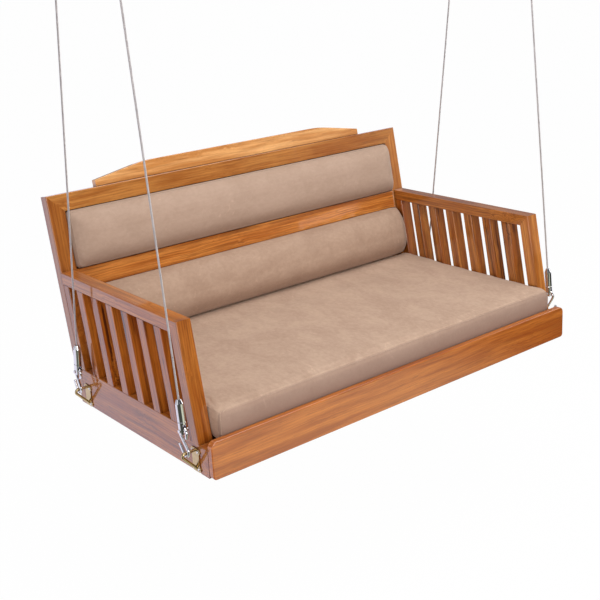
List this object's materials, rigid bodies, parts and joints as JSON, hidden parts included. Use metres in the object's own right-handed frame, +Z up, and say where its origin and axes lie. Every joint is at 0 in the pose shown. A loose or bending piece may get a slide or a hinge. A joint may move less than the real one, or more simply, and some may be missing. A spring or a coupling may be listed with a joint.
{
  "type": "hanging swing bench",
  "caption": "Jhoola: a lacquered teak swing bench with slatted arms, raked back and upholstered seat, hung by wire ropes from ceiling eyes.",
  "frame": {"origin": "middle of the four ceiling studs, on the ceiling's face", "axes": "+Z up along the studs, +X along the bench, -Y the way a sitter faces"},
  "size_m": [1.63, 0.9273, 1.5108],
  "materials": {
    "wood": "glossy lacquered teak",
    "upholstery": "beige brown suede",
    "bright_steel": "polished",
    "wire_rope": "stranded wire",
    "zinc_yellow": "yellow zinc plated"
  },
  "bodies": {
    "ceiling": {"ceiling_eye_front_left": "bright_steel", "ceiling_eye_front_right": "bright_steel", "ceiling_eye_rear_left": "bright_steel", "ceiling_eye_rear_right": "bright_steel"},
    "bench": {"front_lip_board": "wood", "front_beam": "wood", "side_rail_left": "wood", "side_rail_right": "wood", "front_post_left": "wood", "front_post_right": "wood", "arm_rail_left": "wood", "arm_rail_right": "wood", "arm_rear_post_left": "wood", "arm_rear_post_right": "wood", "arm_slats_left": "wood", "arm_slats_right": "wood", "back_stile_left": "wood", "back_stile_right": "wood", "back_top_rail": "wood", "back_middle_rail": "wood", "back_bottom_rail": "wood", "crest_board": "wood", "upper_back_panel": "wood", "lower_back_panel": "wood", "seat_deck": "wood", "seat_bearers": "wood", "seat_cleats": "wood", "seat_cushion": "upholstery", "back_pad": "upholstery", "back_bolster": "upholstery", "bracket_front_left": "zinc_yellow", "bracket_front_right": "zinc_yellow", "bracket_rear_left": "zinc_yellow", "bracket_rear_right": "zinc_yellow", "bracket_screws": "bright_steel"},
    "rope_line_front_left": {"hook_front_left": "bright_steel", "lower_clevis_front_left": "bright_steel", "lower_pin_front_left": "bright_steel", "rope_front_left": "wire_rope", "upper_clevis_front_left": "bright_steel", "upper_pin_front_left": "bright_steel"},
    "rope_line_front_right": {"hook_front_right": "bright_steel", "lower_clevis_front_right": "bright_steel", "lower_pin_front_right": "bright_steel", "rope_front_right": "wire_rope", "upper_clevis_front_right": "bright_steel", "upper_pin_front_right": "bright_steel"},
    "rope_line_rear_left": {"hook_rear_left": "bright_steel", "lower_clevis_rear_left": "bright_steel", "lower_pin_rear_left": "bright_steel", "rope_rear_left": "wire_rope", "upper_clevis_rear_left": "bright_steel", "upper_pin_rear_left": "bright_steel"},
    "rope_line_rear_right": {"hook_rear_right": "bright_steel", "lower_clevis_rear_right": "bright_steel", "lower_pin_rear_right": "bright_steel", "rope_rear_right": "wire_rope", "upper_clevis_rear_right": "bright_steel", "upper_pin_rear_right": "bright_steel"}
  },
  "joints": [
    {"name": "swing_front_left", "type": "hinge", "parent": "ceiling", "child": "rope_line_front_left", "pos_m": [-0.793, -0.166, -0.036], "axis": [1, 0, 0], "range_deg": [-12, 12]},
    {"name": "swing_front_right", "type": "hinge", "parent": "ceiling", "child": "rope_line_front_right", "pos_m": [0.793, -0.166, -0.036], "axis": [1, 0, 0], "range_deg": [-12, 12]},
    {"name": "swing_rear_left", "type": "hinge", "parent": "ceiling", "child": "rope_line_rear_left", "pos_m": [-0.793, 0.166, -0.036], "axis": [1, 0, 0], "range_deg": [-12, 12]},
    {"name": "swing_rear_right", "type": "hinge", "parent": "ceiling", "child": "rope_line_rear_right", "pos_m": [0.793, 0.166, -0.036], "axis": [1, 0, 0], "range_deg": [-12, 12]},
    {"name": "bench_on_front_left_hook", "type": "hinge", "parent": "rope_line_front_left", "child": "bench", "pos_m": [-0.793, -0.35423, -1.356], "axis": [1, 0, 0], "range_deg": [-6.5, 6.5]}
  ],
  "couplings": [
    {"joint": "swing_front_right", "follows": "swing_front_left", "ratio": 1},
    {"joint": "swing_rear_left", "follows": "swing_front_left", "ratio": 0.987},
    {"joint": "swing_rear_right", "follows": "swing_front_left", "ratio": 0.987},
    {"joint": "bench_on_front_left_hook", "follows": "swing_front_left", "ratio": -0.53}
  ]
}
